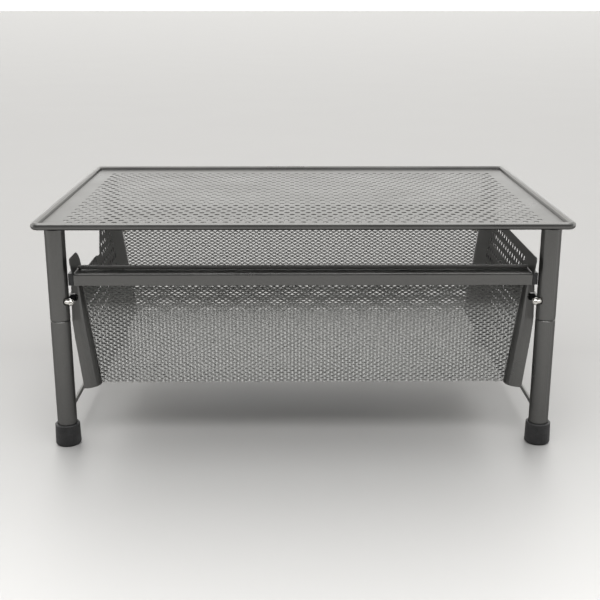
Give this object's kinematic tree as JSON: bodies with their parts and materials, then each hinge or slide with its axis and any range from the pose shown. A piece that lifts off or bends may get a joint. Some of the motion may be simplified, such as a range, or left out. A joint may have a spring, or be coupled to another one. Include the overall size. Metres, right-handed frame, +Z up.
{
  "type": "monitor riser stand",
  "caption": "Perforated steel riser on tubular legs with plug-in, button-locked extensions and a sliding mesh basket drawer with perforated sides.",
  "frame": {"origin": "on the floor, in the middle of the four feet, under the middle of the top", "axes": "+X to the stand's right-hand side seen from the front, +Y to its rear, +Z up"},
  "size_m": [0.4374, 0.2976, 0.1956],
  "materials": {
    "silver_paint": "satin pewter-silver metallic paint",
    "mesh_paint": "satin silver metallic paint on expanded steel mesh",
    "rubber": "matt black moulded rubber",
    "bright_zinc": "bright zinc plate",
    "spring_steel": "bare spring steel strip",
    "nylon": "matt black nylon"
  },
  "bodies": {
    "frame": {"top_sheet": "silver_paint", "top_rim": "silver_paint", "leg_socket_front_left": "silver_paint", "upper_leg_front_left": "silver_paint", "leg_extension_front_left": "silver_paint", "foot_front_left": "rubber", "button_spring_front_left": "spring_steel", "leg_socket_front_right": "silver_paint", "upper_leg_front_right": "silver_paint", "leg_extension_front_right": "silver_paint", "foot_front_right": "rubber", "button_spring_front_right": "spring_steel", "leg_socket_rear_left": "silver_paint", "upper_leg_rear_left": "silver_paint", "leg_extension_rear_left": "silver_paint", "foot_rear_left": "rubber", "button_spring_rear_left": "spring_steel", "leg_socket_rear_right": "silver_paint", "upper_leg_rear_right": "silver_paint", "leg_extension_rear_right": "silver_paint", "foot_rear_right": "rubber", "button_spring_rear_right": "spring_steel", "side_stretcher_left": "silver_paint", "drawer_rail_left": "silver_paint", "side_stretcher_right": "silver_paint", "drawer_rail_right": "silver_paint", "rail_stop_front_left": "nylon", "rail_bracket_front_left": "silver_paint", "rail_screw_front_left": "bright_zinc", "rail_stop_front_right": "nylon", "rail_bracket_front_right": "silver_paint", "rail_screw_front_right": "bright_zinc", "rail_stop_rear_left": "nylon", "rail_bracket_rear_left": "silver_paint", "rail_screw_rear_left": "bright_zinc", "rail_stop_rear_right": "nylon", "rail_bracket_rear_right": "silver_paint", "rail_screw_rear_right": "bright_zinc"},
    "drawer": {"drawer_front_bar": "silver_paint", "drawer_top_rod": "silver_paint", "drawer_back_bar": "silver_paint", "drawer_front_mesh": "mesh_paint", "drawer_bottom_mesh": "mesh_paint", "drawer_back_mesh": "mesh_paint", "drawer_side_left": "silver_paint", "drawer_corner_left": "silver_paint", "drawer_runner_left": "silver_paint", "bar_end_cap_left": "nylon", "rear_glide_left": "nylon", "drawer_side_right": "silver_paint", "drawer_corner_right": "silver_paint", "drawer_runner_right": "silver_paint", "bar_end_cap_right": "nylon", "rear_glide_right": "nylon"},
    "button_front_left": {"snap_button_front_left": "bright_zinc"},
    "button_front_right": {"snap_button_front_right": "bright_zinc"},
    "button_rear_left": {"snap_button_rear_left": "bright_zinc"},
    "button_rear_right": {"snap_button_rear_right": "bright_zinc"}
  },
  "joints": [
    {"name": "drawer_slide", "type": "slide", "parent": "frame", "child": "drawer", "axis": [0, -1, 0], "range_m": [0, 0.175]},
    {"name": "press_front_left", "type": "slide", "parent": "frame", "child": "button_front_left", "axis": [-0.866, 0.5, 0], "range_m": [0, 0.0066], "stiffness_N_per_m": 600, "springref_m": -0.003, "deforming": ["button_spring_front_left"]},
    {"name": "press_front_right", "type": "slide", "parent": "frame", "child": "button_front_right", "axis": [0.866, 0.5, 0], "range_m": [0, 0.0066], "stiffness_N_per_m": 600, "springref_m": -0.003, "deforming": ["button_spring_front_right"]},
    {"name": "press_rear_left", "type": "slide", "parent": "frame", "child": "button_rear_left", "axis": [-0.866, -0.5, 0], "range_m": [0, 0.0066], "stiffness_N_per_m": 600, "springref_m": -0.003, "deforming": ["button_spring_rear_left"]},
    {"name": "press_rear_right", "type": "slide", "parent": "frame", "child": "button_rear_right", "axis": [0.866, -0.5, 0], "range_m": [0, 0.0066], "stiffness_N_per_m": 600, "springref_m": -0.003, "deforming": ["button_spring_rear_right"]}
  ]
}
